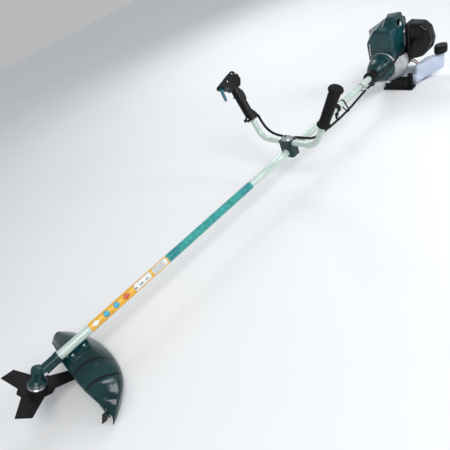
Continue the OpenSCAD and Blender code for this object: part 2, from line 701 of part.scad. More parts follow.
flywheel_x = 112;
module crankshaft() {
    color(steel) at_engine() along_x() {
        translate([0, 0, drum_x + 5]) cylinder(r = 14.8, h = 24);
        translate([0, 0, drum_x + 28]) cylinder(d = crank_d - 3, h = flywheel_x - drum_x - 27);
        translate([0, 0, flywheel_x]) cylinder(d = crank_d - 3, h = 52);
        translate([0, 0, flywheel_x + 51]) cylinder(d = crank_d, h = 17);
        translate([0, 0, 179]) cylinder(r = 26, h = 7);
        translate([12, 0, 185]) cylinder(r = 6, h = 10);
        translate([0, 0, 194]) cylinder(r = 26, h = 7);
        translate([0, 0, 200]) cylinder(d = crank_d, h = 32);
    }
}

module flywheel() {
    color(silver) at_engine() along_x() difference() {
        union() {
            translate([0, 0, flywheel_x]) cylinder(r = 52, h = 12);
            translate([0, 0, flywheel_x]) cylinder(r = 14, h = 24);
            for (i = [0:11]) rotate(i * 30) translate([20, -1.2, flywheel_x - 4.4]) cube([30, 2.4, 6]);
        }
        translate([0, 0, flywheel_x - 10]) cylinder(d = crank_d - 3 + 2 * seat_gap, h = 50);
    }
}

fan_front = clutch_back + seat_gap;
fan_back = 168;
module fan_housing() {
    color(silver) at_engine() difference() {
        union() {
            along_x() rotate_extrude() polygon([[18, fan_front], [clutch_flange_r + 2, fan_front],
                [clutch_flange_r + 4, fan_front + 6], [fan_r - 3, fan_front + 44], [fan_r, fan_front + 50],
                [fan_r, fan_back], [fan_r - 5, fan_back], [fan_r - 5, fan_front + 50],
                [fan_r - 8, fan_front + 43], [clutch_flange_r - 1, fan_front + 5], [18, fan_front + 5]]);
            translate([fan_front + 20, -20, -fan_r + 3]) cube([46, 40, 12]);
        }
        for (a = [45:90:315]) rotate([a, 0, 0]) translate([clutch_back - 20, 0, clutch_flange_r - 7])
            along_x() cylinder(d = m5_hole_d, h = 34);
        // the shroud takes over above this height
        translate([fan_front + 3.6, -120, 32]) cube([100, 240, 100]);
        along_x() translate([0, 0, fan_front + 6]) cylinder(r = clutch_flange_r - 3, h = 60);
    }
}

// ---- engine body ----
crank_back = 212;
module crankcase() {
    color(silver) at_engine() difference() {
        union() {
            translate([fan_back + seat_gap, 0, 0]) along_x() cylinder(r = 46, h = crank_back - fan_back);
            translate([fan_back + seat_gap, -34, 0]) cube([crank_back - fan_back - seat_gap, 68, 50]);
            translate([fan_back + seat_gap, -40, -58]) cube([crank_back - fan_back - seat_gap, 66, 30]);
        }
        translate([fan_back + 10, 0, 0]) along_x() cylinder(r = 30, h = crank_back - fan_back - 20);
        along_x() translate([0, 0, fan_back - 10]) cylinder(d = crank_d + 2 * run_fit, h = 80);
        translate([(fan_back + crank_back) / 2, 0, 20]) cylinder(r = 20, h = 40);
    }
}

cyl_x = 190;
fin_count = 9;
module cylinder_body() {
    translate([0, 0, 50 + seat_gap]) cylinder(r = 27, h = 92);
    translate([0, 0, 50 + seat_gap]) rounded_block([64, 66, 6], 8);
    for (i = [0:fin_count - 1]) translate([0, 0, 68 + i * 8]) rounded_block([62, 76, 3], 16);
    translate([0, 0, 84]) rotate([-90, 0, 0]) translate([0, 0, -46]) cylinder(r = 15, h = 92);
}
module engine_cylinder() {
    color(silver) at_engine() translate([cyl_x, 0, 0]) difference() {
        cylinder_body();
        translate([0, 0, 40]) cylinder(r = 20, h = 92);
        rotate([-90, 0, 0]) translate([0, -84, -50]) cylinder(r = 9, h = 100);
        translate([0, 0, 125]) cylinder(d = 14 + 2 * seat_gap, h = 30);
    }
}

// ---- shroud over fan and cylinder ----
shroud_back = 178;
shroud_wall = 3;
module fan_cowl(r) {
    hull() for (p = [[116, -46, 26], [116, 52, 26], [116, 56, 100], [116, 24, 146], [116, -40, 138],
        [182, -54, 26], [182, 88, 26], [182, 90, 86], [182, 68, 134], [182, 14, 164], [182, -54, 148]]) blob(p, r);
}
module plug_hump(r) {
    hull() for (p = [[140, -52, 146], [140, -8, 158], [148, -46, 182], [148, -18, 184], [192, -44, 182],
        [194, 2, 180], [196, -52, 146], [198, 16, 154]]) blob(p, r);
}
module cylinder_cowl(r) {
    hull() for (p = [[186, -44, 174], [190, 8, 172], [232, -44, 152], [232, 16, 152], [186, -47, 120],
        [232, -47, 120], [232, 20, 130], [186, 30, 150]]) blob(p, r);
}
module engine_shroud() {
    color(dark_green) at_engine() difference() {
        union() {
            fan_cowl(12);
            plug_hump(10);
            cylinder_cowl(8);
        }
        fan_cowl(12 - shroud_wall);
        plug_hump(10 - shroud_wall);
        cylinder_cowl(8 - shroud_wall);
        // open underneath, where it sits on the fan housing, and at the back of the fan chamber
        translate([50, -150, -20]) cube([250, 300, 52 + seat_gap]);
        translate([shroud_back, -150, 0]) cube([26, 300, 116]);
        translate([shroud_back, 36, 0]) cube([90, 114, 140]);
        translate([shroud_back, -44, 0]) cube([90, 180, 144]);
        translate([228, -150, 0]) cube([60, 300, 300]);
        // plug opening in the left of the hump
        translate([158, -80, 160]) along_y() linear_extrude(40) rounded_rect([28, 28], 4);
        // cooling slots down the right front edge
        for (i = [0:6]) translate([103, 46, 44 + i * 9]) rotate([0, 0, 38]) cube([40, 16, 4]);
    }
}

module spark_plug() {
    color(steel) at_engine() translate([cyl_x, 0, 0]) {
        translate([0, 0, 126]) cylinder(d = 14, h = 18);
        translate([0, 0, 144 - eps]) cylinder(d = 20, h = 7, $fn = 6);
        translate([0, 0, 151 - 2 * eps]) cylinder(d = 10, h = 16);
    }
}
module plug_cap() {
    color(black) at_engine() difference() {
        union() {
            translate([cyl_x, 0, 155]) cylinder(d = 19, h = 22);
            translate([cyl_x, 0, 168]) rotate([0, -90, 60]) cylinder(d = 15, h = 34);
        }
        translate([cyl_x, 0, 150]) cylinder(d = 10 + 2 * seat_gap, h = 17.2);
    }
}

muffler_size = [62, 52, 78];
module muffler() {
    color(steel) at_engine() translate([212, 46.1 + muffler_size[1] / 2, 54]) difference() {
        union() {
            rounded_block(muffler_size, 9);
            rotate([-90, 0, 0]) translate([12, -54, muffler_size[1] / 2 - 1]) cylinder(r = 7, h = 14);
        }
        translate([0, 0, 2]) rounded_block([muffler_size[0] - 4, muffler_size[1] - 4, muffler_size[2] - 4], 7);
        rotate([-90, 0, 0]) translate([12, -54, muffler_size[1] / 2 - 6]) cylinder(r = 5.5, h = 30);
        rotate([-90, 0, 0]) translate([-16, -38, -muffler_size[1] / 2 - 4]) cylinder(r = 9, h = 10);
    }
}

// ---- intake ----
carb_x = 196;
carb_y = -61;
carb_front = -50 - seat_gap;
carb_len = 22;
module carburettor() {
    color(silver) at_engine() difference() {
        union() {
            translate([carb_x - 17, carb_front - carb_len, 68]) cube([34, carb_len, 32]);
            translate([carb_x, carb_y, 56]) cylinder(r = 10.5, h = 13);
            translate([carb_x, carb_y, 99]) cylinder(r = 9, h = 5);
        }
        translate([carb_x, carb_front + 1, 84]) rotate([90, 0, 0]) cylinder(r = 9, h = carb_len + 2);
        translate([carb_x, carb_y, 55]) cylinder(r = 9 + 0.1, h = 12);
        translate([carb_x, carb_y, 90]) cylinder(r = 3 + run_fit, h = 20);
    }
}
module carb_lever() {
    color(steel) at_engine() translate([carb_x, carb_y, 0]) {
        translate([0, 0, 94]) cylinder(r = 3, h = 12.5);
        translate([0, 0, 104 + move_gap]) linear_extrude(2) union() {
            circle(r = 7);
            translate([-3, -2]) square([28, 6]);
            translate([25, 1]) circle(r = 4);
        }
    }
}
module primer_bulb() {
    color([0.75, 0.72, 0.6]) at_engine() translate([carb_x, carb_y, 0]) rotate_extrude()
        polygon([[0, 47], [4, 47.6], [7, 49.8], [8.6, 53], [9, 57], [9, 61], [0, 61]]);
}
base_y = -73;
base_t = 12;
air_x = 208;
air_size = [68, 146];
air_z = 71;
module choke_lever() {
    color(black) at_engine() translate([air_x + 20, base_y + 1, 40]) rotate([-90, 0, 0]) {
        linear_extrude(2.5) union() {
            circle(r = 6);
            translate([0, -3]) square([26, 6]);
            translate([26, 0]) circle(r = 4);
        }
        translate([0, 0, -7]) cylinder(r = 2, h = 7 + eps);
    }
}
module air_plate(t, shrink) {
    rotate([90, 0, 0]) rounded_block([air_size[0] - 2 * shrink, air_size[1] - 2 * shrink, t], 12 - shrink);
}
module air_cleaner_base() {
    color(black) at_engine() difference() {
        translate([air_x, base_y, air_z]) air_plate(base_t, 0);
        translate([air_x, base_y - 3, air_z]) air_plate(base_t, 3);
        translate([carb_x, base_y + 1, 84]) rotate([90, 0, 0]) cylinder(r = 10, h = 20);
        translate([air_x + 20, base_y + 1, 40]) rotate([90, 0, 0]) cylinder(r = 2 + run_fit, h = 20);
    }
}
module air_filter() {
    color([0.25, 0.25, 0.24]) at_engine() translate([air_x, base_y - base_t + 2, air_z]) air_plate(14, 4);
}
module air_cover_form(shrink) {
    hull() {
        translate([air_x, base_y - base_t - seat_gap - (shrink > 0 ? -eps : 0), air_z]) air_plate(2, shrink);
        for (x = [187, 229], p = [[-130, 127], [-150, 108], [-163, 62], [-154, 34], [-134, 14], [-108, 8]])
            blob([x, p[0], p[1]], 11 - shrink);
    }
}
module air_cleaner_cover() {
    color(black) at_engine() difference() {
        air_cover_form(0);
        air_cover_form(2.5);
    }
}

// ---- fuel ----
tank_floor = -axis_h + 10;
tank_wall = 3;
neck_at = [284, -168];
tank_r = 14;
// the part of the tank that rises to the filler neck
module tank_shoulder(r) {
    hull() for (p = [[200, -104, tank_floor + tank_r], [200, -108, -50], [238, -140, -44], [286, -168, -42],
        [286, -166, -84], [286, -110, -56], [246, -108, -56], [270, -124, tank_floor + tank_r]]) blob(p, r);
}
module fuel_tank() {
    color([0.8, 0.86, 0.95, 0.8]) at_engine() difference() {
        union() {
            hull() for (p = [[188, -106], [188, 50], [276, -120], [276, 50]],
                    z = [tank_floor + tank_r, tank_floor + 24]) blob([p[0], p[1], z], tank_r);
            tank_shoulder(tank_r);
            translate([neck_at[0], neck_at[1], -44]) cylinder(r = 15, h = 36.4);
        }
        translate([0, 0, tank_floor + tank_wall]) linear_extrude(10 + 2 * tank_r - 2 * tank_wall)
            polygon([[182, -110], [182, 54], [282, 54], [282, -122]]);
        tank_shoulder(tank_r - tank_wall);
        translate([neck_at[0], neck_at[1], -50]) cylinder(r = 12, h = 60);
    }
}
module fuel_cap() {
    color(black) at_engine() translate([neck_at[0], neck_at[1], -24]) difference() {
        union() {
            cylinder(r = 24, h = 32);
            for (i = [0:17]) rotate(i * 20) translate([24, 0, 2]) cylinder(r = 1.8, h = 26, $fn = 16);
        }
        translate([0, 0, -1]) cylinder(r = 15.4, h = 18);
    }
}
line_routes = [
    [[200, -106, -35.5], [198, -98, -26], [193, -82, -16], [187, -66, -6], [183, -60, 20],
        [181.5, -57, 45], [181.5, -56, 67.9]],
    [[214, -104, -35.5], [213, -98, -28], [212, -84, -18], [211, -67, -8], [210.5, -60, 20],
        [210.5, -57, 45], [210.5, -56, 67.9]]];
module fuel_lines() { color([0.5, 0.1, 0.12]) at_engine() for (p = line_routes) cord(smooth(p, 3), 2.5, 8); }

// ---- starter ----
starter_front = 222;
starter_back = 272;
starter_r = 70;
pulley_r = 30;
pulley_x = 240;
rope_y = starter_r + 4;
module starter_housing() {
    color(black) at_engine() difference() {
        union() {
            along_x() rotate_extrude() polygon([[crank_d / 2 + 20, starter_front], [starter_r, starter_front],
                [starter_r, starter_back - 10], [starter_r - 10, starter_back], [0, starter_back],
                [0, starter_back - 3], [starter_r - 11, starter_back - 3], [starter_r - 3, starter_back - 11],
                [starter_r - 3, starter_front + 3], [crank_d / 2 + 20, starter_front + 3]]);
            translate([pulley_x + 5 - 10, 52, pulley_r - 8]) cube([20, rope_y - 52, 16]);
            translate([pulley_x - 2, 0, 0]) along_x() cylinder(r = 6, h = starter_back - pulley_x + 1);
            translate([crank_back + seat_gap, -26, -44]) cube([starter_front - crank_back, 52, 14]);
            translate([crank_back + seat_gap, -26, 30]) cube([starter_front - crank_back, 52, 14]);
        }
        translate([pulley_x + 5, 40, pulley_r]) along_y() cylinder(r = 2.5, h = 50);
        // breathing slots in the back
        for (i = [0:7]) rotate([i * 45, 0, 0]) translate([starter_back - 5, -3, 28]) cube([10, 6, 24]);
    }
}
module starter_pulley() {
    color([0.2, 0.2, 0.2]) at_engine() along_x() difference() {
        translate([0, 0, pulley_x]) rotate_extrude() polygon([[0, 0], [pulley_r + 4, 0], [pulley_r + 4, 2],
            [pulley_r - 3, 3], [pulley_r - 3, 7], [pulley_r + 4, 8], [pulley_r + 4, 10], [0, 10]]);
        translate([0, 0, pulley_x - 3]) cylinder(r = 6 + run_fit, h = 20);
    }
}
module starter_grip() {
    color(black) at_engine() translate([pulley_x + 5, rope_y + move_gap, pulley_r]) {
        along_y() cylinder(r = 7, h = 12);
        translate([-27, 15, 0]) along_x() rotate_extrude()
            polygon([[0, 0], [7, 0], [9, 4], [8, 27], [9, 50], [7, 54], [0, 54]]);
        translate([0, -10, 0]) along_y() cylinder(r = 1.7, h = 12);
    }
}

// ---- stand and pinch bolts ----
module engine_stand() {
    color(black) at_engine() difference() {
        union() {
            translate([engine_back, -43, -axis_h]) rounded_block([40, 136, 7], 6);
            translate([engine_back - 3, -36, -axis_h + 7 - eps]) rounded_block([28, 104, axis_h - fan_r + 3], 6);
            translate([engine_back + 4, -94, -axis_h + 7 - eps]) rounded_block([14, 20, axis_h - fan_r + 19], 4);
        }
        along_x() cylinder(r = fan_r + seat_gap, h = 400);
    }
}
module m5_bolts() {
    color(silver) {
        at_shaft(neck_x - 9) rotate([-100, 0, 0]) translate([0, 0, 22 + seat_gap]) bolt(7);
        at_shaft(hanger_x + hanger_len / 2) translate([0, 4.5 + seat_gap, -tube_r - 9]) along_y() bolt(12);
        at_engine() {
            translate([11.5, 9 + seat_gap, -collar_r - 5]) along_y() bolt(20);
            for (a = [45:90:315]) rotate([a, 0, 0])
                translate([clutch_back - 8, 0, clutch_flange_r - 7]) rotate([0, -90, 0]) bolt(11.5);
        }
    }
}

shaft_tube();
shaft_bushes();
gear_case();
gear_case_bearings();
grease_plug();
guard_bracket();
guard();
guard_bolts();
line_knife();
clamp_base();
clamp_saddle();
clamp_cap();
clamp_bolts();
handlebar();
left_grip();
throttle_housing_outer();
throttle_housing_inner();
housing_screws();
throttle_cable();
hanger_clamp();
hanger_eyelet();
m5_bolts();
tube_collar();
clutch_housing();
fan_housing();
engine_shroud();
crankcase();
engine_cylinder();
spark_plug();
plug_cap();
muffler();
carburettor();
air_cleaner_base();
air_filter();
air_cleaner_cover();
fuel_tank();
fuel_lines();
starter_housing();
engine_stand();
arbor();
bevel_gear();
blade_flange();
blade();
blade_cap();
blade_nut();
drive_shaft();
bevel_pinion();
clutch_drum();
crankshaft();
flywheel();
clutch_shoes();
throttle_trigger();
lockout_lever();
stop_switch();
carb_lever();
choke_lever();
primer_bulb();
starter_grip();
starter_pulley();
fuel_cap();
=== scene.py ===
import json
import math

import bpy
from mathutils import Matrix, Vector


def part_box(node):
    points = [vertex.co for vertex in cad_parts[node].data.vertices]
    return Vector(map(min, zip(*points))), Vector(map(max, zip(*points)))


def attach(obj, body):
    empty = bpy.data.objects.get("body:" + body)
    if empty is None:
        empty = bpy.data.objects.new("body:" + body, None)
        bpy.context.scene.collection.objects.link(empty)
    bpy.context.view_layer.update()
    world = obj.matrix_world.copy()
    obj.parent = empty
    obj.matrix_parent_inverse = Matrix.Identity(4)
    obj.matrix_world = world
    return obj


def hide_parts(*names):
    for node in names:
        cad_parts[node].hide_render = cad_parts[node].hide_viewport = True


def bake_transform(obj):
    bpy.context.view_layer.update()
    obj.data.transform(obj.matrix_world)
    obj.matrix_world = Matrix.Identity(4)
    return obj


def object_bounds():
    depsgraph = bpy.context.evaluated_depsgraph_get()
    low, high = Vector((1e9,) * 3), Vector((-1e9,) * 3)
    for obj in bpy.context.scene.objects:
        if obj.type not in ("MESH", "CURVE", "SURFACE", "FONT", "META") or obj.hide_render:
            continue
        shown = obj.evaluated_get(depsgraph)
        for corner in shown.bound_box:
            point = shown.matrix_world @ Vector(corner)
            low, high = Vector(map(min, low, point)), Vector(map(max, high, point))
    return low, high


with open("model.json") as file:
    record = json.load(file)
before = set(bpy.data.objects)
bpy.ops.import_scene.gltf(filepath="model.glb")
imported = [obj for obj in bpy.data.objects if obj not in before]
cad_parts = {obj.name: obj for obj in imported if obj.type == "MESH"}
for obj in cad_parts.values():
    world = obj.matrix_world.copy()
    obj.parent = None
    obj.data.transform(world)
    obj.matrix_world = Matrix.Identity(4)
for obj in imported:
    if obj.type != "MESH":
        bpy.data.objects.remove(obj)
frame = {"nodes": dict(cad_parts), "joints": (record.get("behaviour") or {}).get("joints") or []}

cad_low, cad_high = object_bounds()
nodes = frame["nodes"]

# ---- studio ----
# A plain pale floor at the stand's foot, and a wide lens held above the cutting head's left,
# looking back along the machine. Large soft lamps stand high on the left and behind.
camera_data = bpy.data.cameras.new("studio_camera")
camera_data.sensor_width = 36
camera_data.lens = 29.58
camera_data.clip_end = 100
camera = bpy.data.objects.new("studio_camera", camera_data)
camera.location = (-1.5916, -0.9297, 0.8390)
camera.rotation_euler = [math.radians(a) for a in (50.77, 20.35, -43.17)]
bpy.context.scene.collection.objects.link(camera)
bpy.context.scene.camera = camera
bpy.context.scene.view_settings.view_transform = "Standard"


def solid(name, points, faces, body="frame", smooth=True):
    """Mesh object that rides on a body of the machine."""
    mesh = bpy.data.meshes.new(name)
    mesh.from_pydata([tuple(p) for p in points], [], faces)
    mesh.validate()
    mesh.update()
    mesh.polygons.foreach_set("use_smooth", [smooth] * len(mesh.polygons))
    piece = bpy.data.objects.new(name, mesh)
    bpy.context.scene.collection.objects.link(piece)
    if body:
        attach(piece, body)
    return piece


floor_half = 12.0
floor_level = cad_low.z - 0.0005
floor = solid("studio_floor", [(x * floor_half, y * floor_half, floor_level)
                               for x, y in ((-1, -1), (1, -1), (1, 1), (-1, 1))], [(0, 1, 2, 3)], body=None)


def lamp(name, place, target, size, watts, colour=(1, 1, 1)):
    light = bpy.data.lights.new(name, "AREA")
    light.size = size
    light.energy = watts
    light.color = colour
    stand = bpy.data.objects.new(name, light)
    stand.location = place
    stand.rotation_euler = (Vector(target) - Vector(place)).to_track_quat("-Z", "Y").to_euler()
    bpy.context.scene.collection.objects.link(stand)


lamp("key_lamp", (-1.6, -2.2, 3.0), (-0.8, 0, 0.1), 1.6, 58)
lamp("rear_lamp", (1.2, 1.9, 2.2), (-0.3, 0, 0.1), 1.2, 30, (0.92, 0.97, 1))
lamp("engine_lamp", (0.4, -1.6, 1.3), (0.05, 0, 0.15), 0.5, 10)
studio_world = bpy.data.worlds.new("studio_world")
studio_world.use_nodes = True
studio_world.node_tree.nodes["Background"].inputs["Color"].default_value = (0.96, 0.98, 1, 1)
studio_world.node_tree.nodes["Background"].inputs["Strength"].default_value = 0.5
bpy.context.scene.world = studio_world

# ---- shaft tube ----
# Drawn aluminium tube in white gloss enamel with a faint mint cast. It carries every other
# piece: the gear case is socketed on its front end and the engine collar grips its rear end.


def noise_of(tree, source, scale, detail):
    noise = tree.nodes.new("ShaderNodeTexNoise")
    noise.inputs["Scale"].default_value = scale
    noise.inputs["Detail"].default_value = detail
    tree.links.new(source, noise.inputs["Vector"])
    return noise.outputs["Fac"]


def ramp_of(tree, source, stops):
    ramp = tree.nodes.new("ShaderNodeValToRGB")
    while len(ramp.color_ramp.elements) < len(stops):
        ramp.color_ramp.elements.new(0.5)
    for element, (at, colour) in zip(ramp.color_ramp.elements, stops):
        element.position = at
        element.color = (*colour, 1)
    tree.links.new(source, ramp.inputs["Fac"])
    return ramp.outputs["Color"]


def spread(tree, source, low, high, from_low=0.3, from_high=0.7):
    fit = tree.nodes.new("ShaderNodeMapRange")
    for socket, value in zip(("From Min", "From Max", "To Min", "To Max"), (from_low, from_high, low, high)):
        fit.inputs[socket].default_value = value
    tree.links.new(source, fit.inputs["Value"])
    return fit.outputs["Result"]


def mixed(tree, share, first, second):
    mix = tree.nodes.new("ShaderNodeMix")
    mix.data_type = "RGBA"
    tree.links.new(share, mix.inputs["Factor"])
    for socket, value in (("A", first), ("B", second)):
        target = next(i for i in mix.inputs if i.name == socket and i.type == "RGBA")
        if isinstance(value, tuple):
            target.default_value = (*value, 1)
        else:
            tree.links.new(value, target)
    return next(o for o in mix.outputs if o.type == "RGBA")


def finish_of(name, dark, light, rough, mottle=30, grain=1400, relief=0.0001, metal=0.0, coat=0.0,
              worn=None, edge=0.0006, gloss=0.5):
    """Surface finish: broad colour variation, fine grain, rubbed edges and softened corners."""
    made = bpy.data.materials.new(name)
    made.use_nodes = True
    tree = made.node_tree
    shader = tree.nodes["Principled BSDF"]
    shader.inputs["Metallic"].default_value = metal
    shader.inputs["Coat Weight"].default_value = coat
    shader.inputs["Specular IOR Level"].default_value = gloss
    shader.inputs["Coat Roughness"].default_value = 0.08
    place = tree.nodes.new("ShaderNodeTexCoord").outputs["Object"]
    broad = noise_of(tree, place, mottle, 4)
    fine = noise_of(tree, place, grain, 5)
    colour = ramp_of(tree, broad, [(0.32, dark), (0.68, light)])
    corner = tree.nodes.new("ShaderNodeBevel")
    corner.inputs["Radius"].default_value = edge
    corner.samples = 4
    if worn:
        facing = tree.nodes.new("ShaderNodeVectorMath")
        facing.operation = "DOT_PRODUCT"
        tree.links.new(corner.outputs["Normal"], facing.inputs[0])
        tree.links.new(tree.nodes.new("ShaderNodeNewGeometry").outputs["Normal"], facing.inputs[1])
        rubbed = spread(tree, facing.outputs["Value"], 1, 0, 0.86, 0.97)
        chance = spread(tree, noise_of(tree, place, 160, 6), 0, 1, 0.5, 0.66)
        both = tree.nodes.new("ShaderNodeMath")
        both.operation = "MULTIPLY"
        tree.links.new(rubbed, both.inputs[0])
        tree.links.new(chance, both.inputs[1])
        colour = mixed(tree, both.outputs[0], colour, worn)
    tree.links.new(colour, shader.inputs["Base Color"])
    tree.links.new(spread(tree, broad, *rough), shader.inputs["Roughness"])
    bump = tree.nodes.new("ShaderNodeBump")
    bump.inputs["Strength"].default_value = 0.5
    bump.inputs["Distance"].default_value = relief
    tree.links.new(fine, bump.inputs["Height"])
    tree.links.new(corner.outputs["Normal"], bump.inputs["Normal"])
    tree.links.new(bump.outputs["Normal"], shader.inputs["Normal"])
    return made


def paint(piece, material):
    piece.data.materials.clear()
    piece.data.materials.append(material)
    return piece


crisp_angle = math.radians(32)


def dress(material, *names):
    """Gives CAD nodes a finish and shades their round faces smooth."""
    for name in names:
        node = nodes[name]
        for place in node.material_slots:
            place.material = material
        if not node.material_slots:
            node.data.materials.append(material)
        node.data.polygons.foreach_set("use_smooth", [True] * len(node.data.polygons))
        weld = node.modifiers.new("one_skin", "WELD")
        weld.merge_threshold = 0.00002
        split = node.modifiers.new("crisp_corners", "EDGE_SPLIT")
        split.split_angle = crisp_angle


floor_finish = finish_of("studio_floor", (0.90, 0.91, 0.92), (0.93, 0.94, 0.95), (0.7, 0.8), mottle=1, grain=60,
                         gloss=0.1)
paint(floor, floor_finish)

white_enamel = finish_of("white_enamel", (0.50, 0.62, 0.57), (0.62, 0.74, 0.69), (0.18, 0.28), mottle=18,
                         grain=500, relief=0.00004, coat=0.6, worn=(0.42, 0.43, 0.42))
dress(white_enamel, "shaft_tube")
tube_low, tube_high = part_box("shaft_tube")
tube_r = (tube_high.z - tube_low.z) / 2
shaft_z = (tube_high.z + tube_low.z) / 2

# ---- shaft labels ----
# Printed vinyl bands stuck round the front half of the tube. The prints are plain bands,
# dots and lozenges with no lettering. Each is a film a tenth of a millimetre thick.


def ring_faces(rows, sides, closed):
    """Quads between rings of points; closed joins the last ring to the first."""
    last = rows if closed else rows - 1
    return [(i * sides + k, i * sides + (k + 1) % sides,
             ((i + 1) % rows) * sides + (k + 1) % sides, ((i + 1) % rows) * sides + k)
            for i in range(last) for k in range(sides)]


def lathe(name, profile, centre, axis, body="frame", sides=48):
    """Closed solid of revolution; profile is a closed loop of (radius, height) along the axis."""
    turn = Vector(axis).to_track_quat("Z", "Y").to_matrix()
    points = [Vector(centre) + turn @ Vector((r * math.cos(a), r * math.sin(a), h))
              for r, h in profile for a in (2 * math.pi * k / sides for k in range(sides))]
    piece = solid(name, points, ring_faces(len(profile), sides, True), body)
    split = piece.modifiers.new("crisp_corners", "EDGE_SPLIT")
    split.split_angle = crisp_angle
    return piece


film = 0.0001


def band(name, x_from, x_to, material):
    skin = tube_r + film
    profile = [(tube_r - film, 0), (skin, 0), (skin, x_to - x_from), (tube_r - film, x_to - x_from)]
    piece = lathe(name, profile, (x_from, 0, shaft_z), (1, 0, 0), sides=64)
    return paint(piece, material)


def mark(name, x, angle, outline, material, lift=2):
    """Flat print laid round the tube; outline is (along, across) in metres about its middle."""
    shells = []
    steps = 8
    outline = [(a[0] + (b[0] - a[0]) * k / steps, a[1] + (b[1] - a[1]) * k / steps)
               for a, b in zip(outline, outline[1:] + outline[:1]) for k in range(steps)]
    count, rows = len(outline), 5
    for radius in (tube_r + lift * film, tube_r - film):
        for row in range(rows, 0, -1) if radius > tube_r else range(1, rows + 1):
            for along, across in outline:
                a = angle - across * row / rows / tube_r
                shells.append((x + along * row / rows, -radius * math.sin(a), shaft_z + radius * math.cos(a)))
    faces = ring_faces(2 * rows, count, False)
    # the innermost ring of each layer is closed with one small face, and the two outer rings by a rim
    faces = [f for f in faces if not (f[0] // count == rows - 1)]
    faces.append(tuple(range((rows - 1) * count, rows * count)))
    faces.append(tuple(reversed(range(rows * count, (rows + 1) * count))))
    faces += [((2 * rows - 1) * count + k, (2 * rows - 1) * count + (k + 1) % count, (k + 1) % count, k)
              for k in range(count)]
    piece = solid(name, shells, faces)
    return paint(piece, material)


def print_of(name, dark, light):
    return finish_of(name, dark, light, (0.3, 0.42), mottle=60, grain=900, relief=0.00003, coat=0.25)


amber_print = print_of("amber_print", (0.82, 0.40, 0.02), (0.92, 0.52, 0.04))
cyan_print = print_of("cyan_print", (0.02, 0.36, 0.55), (0.04, 0.46, 0.64))
red_print = print_of("red_print", (0.60, 0.07, 0.03), (0.70, 0.10, 0.05))
pale_print = print_of("pale_print", (0.80, 0.85, 0.84), (0.88, 0.92, 0.91))
grey_print = print_of("grey_print", (0.22, 0.24, 0.26), (0.32, 0.34, 0.36))
teal_print = print_of("teal_print", (0.01, 0.25, 0.24), (0.04, 0.42, 0.38))
band("amber_label", -1.650, -1.352, amber_print)
band("teal_label", -1.351, -0.950, teal_print)
dark_teal_print = print_of("dark_teal_print", (0.0, 0.20, 0.24), (0.01, 0.28, 0.31))

label_facing = math.radians(52)
lozenge = [(0.013, 0), (0, 0.010), (-0.013, 0), (0, -0.010)]
dot = [(0.0095 * math.cos(math.radians(a)), 0.0095 * math.sin(math.radians(a))) for a in range(0, 360, 15)]


def bar_mark(length, width):
    return [(length / 2, width / 2), (-length / 2, width / 2),
            (-length / 2, -width / 2), (length / 2, -width / 2)]


mark("label_panel_front", -1.455, label_facing, bar_mark(0.066, 0.024), pale_print)
mark("label_panel_rear", -1.385, label_facing, bar_mark(0.058, 0.024), pale_print)
mark("label_lozenge_front", -1.630, label_facing, lozenge, pale_print)
mark("label_dot_front", -1.592, label_facing, dot, cyan_print)
mark("label_dot_rear", -1.556, label_facing, dot, cyan_print)
mark("label_lozenge_rear", -1.519, label_facing, lozenge, red_print)
for i, (x, length) in enumerate(((-1.482, 0.010), (-1.462, 0.014), (-1.440, 0.012))):
    mark(f"label_bar_{i}", x, label_facing + 0.15, bar_mark(length, 0.005), grey_print, lift=4)
for i in range(3):
    mark(f"label_line_{i}", -1.388, label_facing + 0.4 * (i - 1), bar_mark(0.042, 0.0022), grey_print, lift=4)
for i, x in enumerate((-1.320, -0.985)):
    mark(f"label_shade_{i}", x, label_facing, bar_mark(0.046, 0.036), dark_teal_print)

# ---- drive line inside the tube and head ----
# Ground steel shaft in five moulded bushes, with a small bevel pair and ball races at the front.
# All are pressed or clipped in, and show only when the head is opened.
turned_steel = finish_of("turned_steel", (0.42, 0.43, 0.45), (0.60, 0.61, 0.63), (0.22, 0.4), mottle=90,
                         grain=2200, relief=0.00005, metal=1.0, worn=(0.8, 0.8, 0.82))
bright_zinc = finish_of("bright_zinc", (0.60, 0.62, 0.64), (0.78, 0.79, 0.80), (0.2, 0.36), mottle=120,
                        grain=1800, relief=0.00004, metal=1.0, worn=(0.45, 0.42, 0.38))
bush_nylon = finish_of("bush_nylon", (0.03, 0.03, 0.033), (0.05, 0.05, 0.055), (0.45, 0.6))
dress(turned_steel, "drive_shaft", "bevel_pinion", "bevel_gear", "arbor", "clutch_drum", "crankshaft",
      "spark_plug")
dress(bright_zinc, "gear_case_bearings")
dress(bush_nylon, "shaft_bushes")

# ---- gear case ----
# Die-cast case in dark green satin paint, pinched on the tube by one bolt. The two lands of its
# lower flange are machined bright, and a hexagon plug on the side closes the grease hole.
green_casting = finish_of("green_casting", (0.001, 0.022, 0.027), (0.002, 0.045, 0.052), (0.24, 0.38), mottle=22,
                          grain=1100, relief=0.00012, coat=0.18, worn=(0.10, 0.16, 0.17), gloss=0.3)
dress(green_casting, "gear_case", "guard_bracket", "clamp_base", "clamp_saddle", "clamp_cap",
      "clutch_housing")
dress(bright_zinc, "grease_plug", "m5_bolts", "guard_bolts", "clamp_bolts", "housing_screws", "hanger_eyelet")

spin = next(j for j in frame["joints"] if j["name"] == "blade_spin")
arbor_axis = Vector(spin["axis"]).normalized()
arbor_middle = Vector(spin["pos_m"])


def bead(radius, thick):
    """Closed round profile for a thin ring."""
    return [(radius + thick * math.cos(a), thick * math.sin(a))
            for a in (2 * math.pi * k / 12 for k in range(12))]


